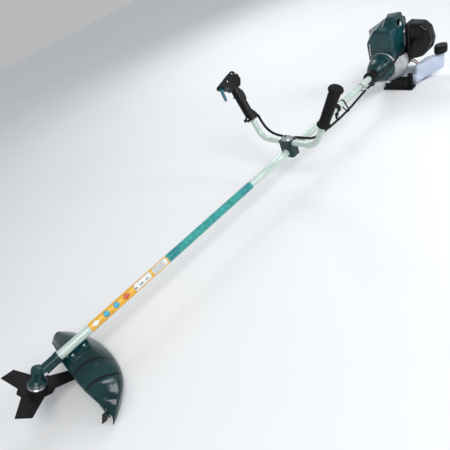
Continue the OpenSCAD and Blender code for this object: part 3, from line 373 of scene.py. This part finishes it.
flange_r = 0.0245
for i, height in enumerate((-0.0250, -0.0192)):
    land_middle = arbor_middle + arbor_axis * height
    ring = lathe(f"case_land_{i}", bead(flange_r - 0.0001, 0.0007), land_middle, arbor_axis)
    paint(ring, bright_zinc)

# ---- blade and its fastenings ----
# Three-arm steel blade in black enamel, clamped between the arbor's flange and a dished
# washer by a left-hand nut. The cutting edges are ground and show worn steel.
black_enamel = finish_of("black_enamel", (0.006, 0.006, 0.007), (0.014, 0.014, 0.016), (0.32, 0.48), mottle=26,
                         grain=800, relief=0.00007, coat=0.0, worn=(0.12, 0.12, 0.13), edge=0.0008, gloss=0.12)
dress(black_enamel, "blade", "hanger_clamp", "tube_collar", "engine_stand")
dress(turned_steel, "blade_flange", "blade_cap", "blade_nut")

# ---- guard ----
# One moulding in glossy dark teal-green plastic, bolted under the shaft. Two ribs cross it, their
# shadows painted as dark bands; its front edge is rolled to a bead; a small knife for the line is screwed inside
# the near leg.
guard_gloss = finish_of("guard_gloss", (0.000, 0.020, 0.025), (0.004, 0.044, 0.050), (0.16, 0.3), mottle=12,
                        grain=700, relief=0.00006, coat=0.22, gloss=0.3)


def rib_shadow_bands(material, stations, width, shadow_tint):
    """Paints narrow dark bands across the machine: painted shadow where a moulding's ribs step down."""
    tree = material.node_tree
    shader = tree.nodes["Principled BSDF"]
    colour = shader.inputs["Base Color"].links[0].from_socket
    split = tree.nodes.new("ShaderNodeSeparateXYZ")
    tree.links.new(tree.nodes.new("ShaderNodeTexCoord").outputs["Object"], split.inputs["Vector"])
    for station in stations:
        away = tree.nodes.new("ShaderNodeMath")
        away.operation = "SUBTRACT"
        away.inputs[1].default_value = station
        tree.links.new(split.outputs["Y"], away.inputs[0])
        size = tree.nodes.new("ShaderNodeMath")
        size.operation = "ABSOLUTE"
        tree.links.new(away.outputs[0], size.inputs[0])
        colour = mixed(tree, spread(tree, size.outputs[0], 1, 0, width / 2, width), colour, shadow_tint)
    tree.links.new(colour, shader.inputs["Base Color"])


# painted shadow: two dark bands across the guard where its ribs step down
rib_shadow_bands(guard_gloss, (-0.055, -0.111), 0.0045, (0.0, 0.004, 0.006))


def moulded(name, node, voxel, rounds, material):
    """A moulding's own skin: its shell remeshed finely and relaxed, so that the facets soften."""
    piece = bpy.data.objects.new(name, nodes[node].data.copy())
    bpy.context.scene.collection.objects.link(piece)
    skin = piece.modifiers.new("even_skin", "REMESH")
    skin.mode = "VOXEL"
    skin.voxel_size = voxel
    relax = piece.modifiers.new("relaxed", "SMOOTH")
    relax.factor = 0.5
    relax.iterations = rounds
    bpy.context.view_layer.update()
    baked = bpy.data.meshes.new_from_object(piece.evaluated_get(bpy.context.evaluated_depsgraph_get()))
    piece.modifiers.clear()
    piece.data = baked
    baked.polygons.foreach_set("use_smooth", [True] * len(baked.polygons))
    paint(piece, material)
    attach(piece, "frame")
    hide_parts(node)
    return piece


moulded("guard_moulding", "guard", 0.0013, 5, guard_gloss)


def tube_along(name, route, radius, body="frame", sides=12):
    """Round cord or bead swept along a list of points, closed at both ends."""
    points = [Vector(p) for p in route]
    side = Vector((0.2, 0.3, 0.93))
    skin = []
    for i, p in enumerate(points):
        ahead = (points[min(i + 1, len(points) - 1)] - points[max(i - 1, 0)]).normalized()
        side = (side - ahead * side.dot(ahead)).normalized()
        across = ahead.cross(side)
        for k in range(sides):
            a = 2 * math.pi * k / sides
            skin.append(p + radius * (math.cos(a) * side + math.sin(a) * across))
    faces = ring_faces(len(points), sides, False)
    faces.append(tuple(reversed(range(sides))))
    faces.append(tuple(range(len(skin) - sides, len(skin))))
    return solid(name, skin, faces, body)


# the bead follows the guard's foremost edge, station by station across the machine
across_arbor = Vector((0, 1, 0))
along_arbor = across_arbor.cross(arbor_axis)
guard_low, guard_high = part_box("guard")
stations = 22
edge_points = []
for i in range(stations + 1):
    y = guard_low.y + 0.004 + (guard_high.y - guard_low.y - 0.008) * i / stations
    near = [v.co for v in nodes["guard"].data.vertices if abs(v.co.y - y) < 0.011]
    if near:
        edge_points.append(min(near, key=lambda p: (p - arbor_middle).dot(along_arbor)))
edge_points = [sum((edge_points[min(max(i + d, 0), len(edge_points) - 1)] for d in (-1, 0, 1)), Vector()) / 3
               for i in range(len(edge_points))]
guard_bead = paint(tube_along("guard_front_bead", edge_points, 0.0022), guard_gloss)
knife_steel = finish_of("knife_steel", (0.010, 0.010, 0.011), (0.03, 0.03, 0.032), (0.3, 0.45), metal=0.6,
                        worn=(0.5, 0.5, 0.52))
dress(knife_steel, "line_knife")

# ---- handlebar ----
# Cow-horn bar of the same white enamelled tube, held between the three cast layers of the
# clamp by four socket-head bolts.
dress(white_enamel, "handlebar")

# ---- grips and throttle handle ----
# Soft black rubber on the left horn, and a two-shell moulded handle on the right that holds the
# trigger, the lockout lever and the stop slider. Raised rubber ribs ring the left grip.
grip_rubber = finish_of("grip_rubber", (0.006, 0.006, 0.007), (0.014, 0.014, 0.015), (0.55, 0.75), mottle=50,
                        grain=1300, relief=0.0002, worn=(0.02, 0.02, 0.022), gloss=0.12)
black_moulding = finish_of("black_moulding", (0.002, 0.0025, 0.0035), (0.005, 0.0055, 0.007), (0.26, 0.42),
                           mottle=24, grain=1500, relief=0.0001, coat=0.06, worn=(0.025, 0.03, 0.035), gloss=0.2)
teal_moulding = finish_of("teal_moulding", (0.003, 0.10, 0.15), (0.008, 0.16, 0.22), (0.28, 0.4), mottle=40,
                          grain=1500, relief=0.00008, coat=0.3, worn=(0.10, 0.28, 0.34))
dress(grip_rubber, "left_grip")
dress(black_moulding, "throttle_housing_outer", "throttle_housing_inner", "lockout_lever")
dress(teal_moulding, "throttle_trigger", "stop_switch")

horn_rise = math.radians(62.5)
bar_lean = math.radians(7.4)
lean = Matrix.Rotation(bar_lean, 3, "Y")
horn_up = lean @ Vector((0, -math.cos(horn_rise), math.sin(horn_rise)))
left_tip = max((v.co for v in nodes["left_grip"].data.vertices), key=lambda p: p.dot(horn_up))
left_middle = sum((v.co for v in nodes["left_grip"].data.vertices), Vector()) / len(
    nodes["left_grip"].data.vertices)
grip_top = left_tip.dot(horn_up)
rib_drop = 0.032
rib_pitch = 0.0115
rib_ring_r = 0.0182
rib_taper = 0.00012
rib_thick = 0.0013
for i in range(9):
    height = grip_top - rib_drop - i * rib_pitch
    centre = left_middle + horn_up * (height - left_middle.dot(horn_up))
    rib = lathe(f"left_grip_rib_{i}", bead(rib_ring_r - rib_taper * i, rib_thick), centre, horn_up)
    paint(rib, grip_rubber)

# ---- throttle cable ----
# Black plastic sleeve, tied to the tube by two moulded straps and a bright clip by the engine.
# A ribbed boot bridges the gap between its upper end and the throttle handle.
cable_sleeve = finish_of("cable_sleeve", (0.006, 0.006, 0.007), (0.014, 0.014, 0.016), (0.35, 0.5), mottle=60,
                         grain=900, relief=0.00006, gloss=0.15)
dress(cable_sleeve, "throttle_cable")
boot_profile = [(0, 0), (0.0054, 0), (0.0060, 0.005), (0.0056, 0.007), (0.0066, 0.012), (0.0062, 0.014),
                (0.0074, 0.020), (0.0078, 0.040), (0, 0.040)]
cable_exit = (-0.6785, 0.1625, 0.2295)
grip_way = (-0.36, 0.42, 0.83)
boot = lathe("cable_boot", boot_profile, cable_exit, grip_way, sides=24)
paint(boot, cable_sleeve)

cable_r = 0.0051
strap_sides = 40


def strap(name, x, material, width=0.007):
    """Tie round the tube and the cable beside it, drawn as one racetrack loop."""
    cable = [v.co for v in nodes["throttle_cable"].data.vertices if abs(v.co.x - x) < 0.02]
    hub = sum(cable, Vector()) / len(cable)
    away = Vector((0, hub.y, hub.z - shaft_z))
    reach = away.length
    out = away.normalized()
    across = Vector((1, 0, 0)).cross(out)
    tube_middle = Vector((x, 0, shaft_z))
    loop = []
    for k in range(strap_sides):
        a = 2 * math.pi * k / strap_sides
        tube_side = math.cos(a) < 0
        centre, r = (tube_middle, tube_r) if tube_side else (tube_middle + out * reach, cable_r)
        loop.append((centre, out * math.cos(a) + across * math.sin(a), r))
    points = []
    for thick, shift in ((0.0002, -1), (0.0012, -1), (0.0012, 1), (0.0002, 1)):
        for centre, way, r in loop:
            points.append(centre + way * (r + thick) + Vector((shift * width / 2, 0, 0)))
    piece = paint(solid(name, points, ring_faces(4, strap_sides, True), smooth=False), material)
    return piece


strap("cable_strap_front", -0.50, black_moulding)
strap("cable_strap_rear", -0.37, black_moulding)
strap("cable_clip", -0.235, bright_zinc, width=0.010)

# ---- clutch and fan housings ----
# The cone in front is painted like the gear case; behind it the fan's scroll is bare die-cast
# alloy with radial cooling ribs, and a bright machined seam where the two meet.
bare_casting = finish_of("bare_casting", (0.42, 0.44, 0.45), (0.62, 0.63, 0.64), (0.35, 0.55), mottle=60,
                         grain=1200, relief=0.00025, metal=0.85, worn=(0.8, 0.8, 0.8))
dress(bare_casting, "fan_housing", "crankcase", "engine_cylinder", "carburettor", "flywheel", "clutch_shoes")
fan_low, fan_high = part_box("fan_housing")
seam_r = 0.0612
seam = lathe("clutch_seam", bead(seam_r, 0.0011), (fan_low.x - 0.0001, 0, shaft_z), (1, 0, 0), sides=96)
paint(seam, bare_casting)

rib_rows = [(0.0060, 0.0655), (0.0240, 0.0733), (0.0430, 0.0822)]
rib_step = math.radians(9)
rib_half = 0.0013
rib_margin = 0.13
rib_points, rib_faces = [], []
for k in range(22):
    a = math.radians(-8) - k * rib_step
    if not -math.pi + rib_margin < a < -rib_margin:
        continue
    first = len(rib_points)
    for along, radius in rib_rows:
        for lift, half in ((-0.001, rib_half), (0.0022, rib_half * 0.6)):
            for side in (-1, 1):
                r = radius + lift
                b = a + side * half / radius
                rib_points.append((fan_low.x + along, r * math.cos(b), shaft_z + r * math.sin(b)))
    for row in range(2):
        s = first + row * 4
        rib_faces += [(s, s + 4, s + 6, s + 2), (s + 2, s + 6, s + 7, s + 3), (s + 3, s + 7, s + 5, s + 1),
                      (s + 1, s + 5, s + 4, s)]
    end = first + 8
    rib_faces += [(first, first + 2, first + 3, first + 1), (end, end + 1, end + 3, end + 2)]
fan_ribs = solid("fan_housing_ribs", rib_points, rib_faces, smooth=False)
paint(fan_ribs, bare_casting)

# ---- engine shroud ----
# Glossy teal-green moulding over the fan and cylinder, screwed to the fan housing. The plug
# opening on the near side is backed by a black dish of painted shade that darkens it, and slots at the front
# edge let air in.
shroud_gloss = finish_of("shroud_gloss", (0.001, 0.030, 0.036), (0.006, 0.066, 0.078), (0.18, 0.32), mottle=14,
                         grain=900, relief=0.00005, coat=0.22, gloss=0.35)
moulded("shroud_moulding", "engine_shroud", 0.0012, 10, shroud_gloss)
# painted shade: a black dish set inside the plug opening so that it reads dark
well_profile = [(0, 0.004), (0.009, 0.004), (0.014, 0), (0.0165, 0), (0.0165, 0.002), (0.010, 0.006),
                (0, 0.006)]
well_middle = (0.013, -0.050, 0.286)
plug_opening_shade = lathe("plug_opening_shade", well_profile, well_middle, (0, 1, 0))
paint(plug_opening_shade, black_moulding)

# ---- spark plug and its lead ----
# Rubber cap over the plug, with its high-tension lead running back down into the shroud.
dress(grip_rubber, "plug_cap")
cap_low, cap_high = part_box("plug_cap")
lead_from = Vector((cap_low.x + 0.006, cap_low.y + 0.006, (cap_low.z + cap_high.z) / 2))
lead = tube_along("plug_lead", [lead_from, lead_from + Vector((-0.004, -0.004, -0.004)),
                                lead_from + Vector((-0.009, -0.002, -0.014)),
                                lead_from + Vector((-0.012, 0.004, -0.030))], 0.0030)
paint(lead, grip_rubber)

# ---- muffler ----
# Pressed steel box on the far side of the cylinder, blued and browned by heat.
heated_steel = finish_of("heated_steel", (0.16, 0.13, 0.11), (0.38, 0.35, 0.34), (0.35, 0.6), mottle=35,
                         grain=900, relief=0.00012, metal=0.9, worn=(0.5, 0.48, 0.46))
dress(heated_steel, "muffler")

# ---- intake ----
# The air cleaner's domed black cover is held by one hand screw, over a foam element and a tray.
# Behind the tray stand the carburettor with its lever and the soft primer bulb.
filter_foam = finish_of("filter_foam", (0.09, 0.09, 0.08), (0.16, 0.16, 0.15), (0.85, 0.95), mottle=200,
                        grain=500, relief=0.0008)
cover_gloss = finish_of("cover_gloss", (0.001, 0.001, 0.0015), (0.003, 0.0035, 0.005), (0.14, 0.26), mottle=16,
                        grain=900, relief=0.00005, coat=0.2, gloss=0.2)
moulded("air_cover_moulding", "air_cleaner_cover", 0.0022, 60, cover_gloss)
cover_low, cover_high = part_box("air_cleaner_cover")
cover_mid = (cover_low + cover_high) / 2
knob_profile = [(0, 0), (0.013, 0), (0.0135, 0.003), (0.0125, 0.007), (0.009, 0.009), (0, 0.0095)]
knob_middle = (cover_mid.x, cover_low.y + 0.0085, cover_mid.z - 0.006)
knob = lathe("air_cover_knob", knob_profile, knob_middle, (0, -1, 0))
paint(knob, black_moulding)
dress(black_moulding, "air_cleaner_base", "choke_lever")
dress(filter_foam, "air_filter")
dress(bright_zinc, "carb_lever")
primer_rubber = finish_of("primer_rubber", (0.50, 0.46, 0.30), (0.62, 0.58, 0.42), (0.25, 0.4), mottle=90,
                          grain=900, relief=0.00004)
primer_rubber.node_tree.nodes["Principled BSDF"].inputs["Transmission Weight"].default_value = 0.35
dress(primer_rubber, "primer_bulb")

# ---- fuel tank, cap and lines ----
# Blow-moulded translucent tank under the engine, with its shell's facets softened. The black cap
# screws on the rear neck; a red feed line and a grey return line rise to the carburettor.
tank_skin = finish_of("tank_skin", (0.52, 0.60, 0.78), (0.70, 0.77, 0.92), (0.28, 0.4), mottle=10,
                      grain=700, relief=0.00005, coat=0.2)
tank_shader = tank_skin.node_tree.nodes["Principled BSDF"]
tank_shader.inputs["Transmission Weight"].default_value = 0.18
tank_shader.inputs["Subsurface Weight"].default_value = 0.35
tank_shader.inputs["Subsurface Radius"].default_value = (0.01, 0.012, 0.016)
moulded("tank_moulding", "fuel_tank", 0.0013, 14, tank_skin)
dress(black_moulding, "fuel_cap")
line_rubber = finish_of("line_rubber", (0.24, 0.012, 0.018), (0.36, 0.03, 0.035), (0.3, 0.42), mottle=60,
                        grain=700, relief=0.00004, coat=0.2)


def two_lines(material, boundary, second):
    """Colours whatever lies behind the boundary along the machine differently."""
    tree = material.node_tree
    shader = tree.nodes["Principled BSDF"]
    colour = shader.inputs["Base Color"].links[0].from_socket
    split = tree.nodes.new("ShaderNodeSeparateXYZ")
    tree.links.new(tree.nodes.new("ShaderNodeTexCoord").outputs["Object"], split.inputs["Vector"])
    share = spread(tree, split.outputs["X"], 0, 1, boundary - 0.001, boundary + 0.001)
    tree.links.new(mixed(tree, share, colour, second), shader.inputs["Base Color"])


line_low, line_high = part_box("fuel_lines")
two_lines(line_rubber, (line_low.x + line_high.x) / 2 + 0.002, (0.20, 0.21, 0.23))
dress(line_rubber, "fuel_lines")

# ---- recoil starter ----
# Black moulded housing behind the engine with a rope pulley. The braided rope pays out
# through the guide as the grip is pulled.
dress(black_moulding, "starter_housing", "starter_pulley", "starter_grip")
pull_low, pull_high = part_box("starter_grip")
starter_low, starter_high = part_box("starter_housing")
rope_braid = finish_of("rope_braid", (0.50, 0.50, 0.48), (0.72, 0.72, 0.70), (0.7, 0.85), mottle=700,
                       grain=1500, relief=0.0003)
rope_centre = ((pull_low.x + pull_high.x) / 2, 0, (pull_low.z + pull_high.z) / 2)
rope_from = Vector((rope_centre[0], starter_high.y - 0.012, rope_centre[2]))
rope_to = Vector((rope_centre[0], starter_high.y + 0.002, rope_centre[2]))
rope = tube_along("starter_rope", [rope_from.lerp(rope_to, i / 24) for i in range(25)], 0.00185, body=None)
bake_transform(rope)
paint(rope, rope_braid)
